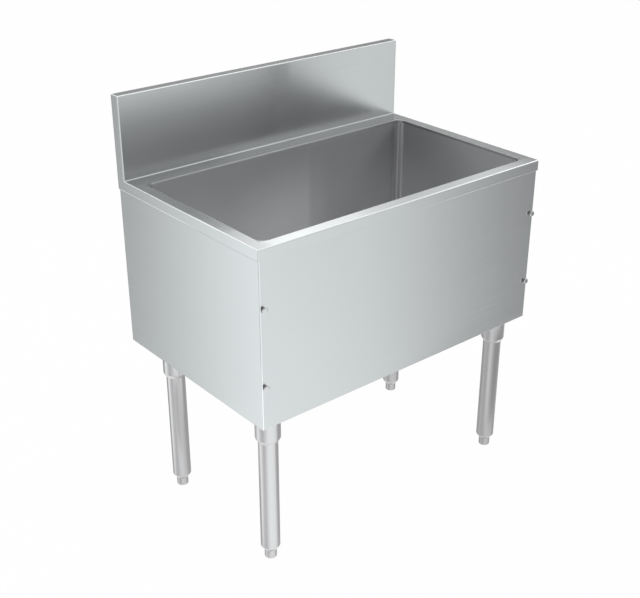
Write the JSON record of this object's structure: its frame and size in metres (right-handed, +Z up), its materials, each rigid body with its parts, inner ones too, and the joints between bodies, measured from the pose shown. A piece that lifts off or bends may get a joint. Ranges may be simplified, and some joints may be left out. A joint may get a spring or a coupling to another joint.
{
  "type": "insulated underbar ice bin",
  "caption": "Freestanding stainless ice bin with a foam-insulated well, a backsplash, rail studs, a drain with a lift-out strainer, and legs with adjustable feet.",
  "frame": {"origin": "on the floor, under the middle of the deck", "axes": "+X to the bin's right hand seen from the front, -Y to the front, +Y to the wall, +Z up"},
  "size_m": [0.762, 0.4876, 0.916],
  "materials": {
    "deck_steel": "brushed along the deck, satin",
    "panel_steel": "brushed along the panels, satin",
    "back_steel": "plain mill finish",
    "liner_steel": "brushed, satin",
    "drain_steel": "polished",
    "socket_steel": "turned, satin",
    "tube_steel": "drawn tube, satin",
    "foot_steel": "turned, bright",
    "hardware_steel": "plated, satin",
    "foam": "rigid poured foam",
    "rubber": "matt"
  },
  "bodies": {
    "bin": {"deck_and_splash": "deck_steel", "outer_wrapper": "panel_steel", "rear_panel": "back_steel", "bottom_panel": "back_steel", "bin_liner": "liner_steel", "foam_insulation": "foam", "drain_body": "drain_steel", "drain_gasket": "rubber", "drain_washer": "rubber", "drain_locknut": "hardware_steel", "leg_channel_front": "back_steel", "leg_channel_rear": "back_steel", "leg_socket_front_left": "socket_steel", "leg_socket_front_right": "socket_steel", "leg_socket_rear_left": "socket_steel", "leg_socket_rear_right": "socket_steel", "leg_tube_front_left": "tube_steel", "leg_tube_front_right": "tube_steel", "leg_tube_rear_left": "tube_steel", "leg_tube_rear_right": "tube_steel", "foot_insert_front_left": "foot_steel", "foot_insert_front_right": "foot_steel", "foot_insert_rear_left": "foot_steel", "foot_insert_rear_right": "foot_steel", "socket_bolts": "hardware_steel", "socket_nuts": "hardware_steel", "socket_set_screws": "hardware_steel", "rail_studs": "hardware_steel", "rail_stud_nuts": "hardware_steel"},
    "foot_front_left": {"foot_front_left": "foot_steel"},
    "foot_front_right": {"foot_front_right": "foot_steel"},
    "foot_rear_left": {"foot_rear_left": "foot_steel"},
    "foot_rear_right": {"foot_rear_right": "foot_steel"},
    "strainer": {"drain_strainer": "drain_steel"}
  },
  "joints": [
    {"name": "foot_height_front_left", "type": "slide", "parent": "bin", "child": "foot_front_left", "axis": [0, 0, 1], "range_m": [-0.025, 0]},
    {"name": "foot_height_front_right", "type": "slide", "parent": "bin", "child": "foot_front_right", "axis": [0, 0, 1], "range_m": [-0.025, 0]},
    {"name": "foot_height_rear_left", "type": "slide", "parent": "bin", "child": "foot_rear_left", "axis": [0, 0, 1], "range_m": [-0.025, 0]},
    {"name": "foot_height_rear_right", "type": "slide", "parent": "bin", "child": "foot_rear_right", "axis": [0, 0, 1], "range_m": [-0.025, 0]},
    {"name": "strainer_lift", "type": "slide", "parent": "bin", "child": "strainer", "axis": [0, 0, 1], "range_m": [0, 0.35]}
  ]
}
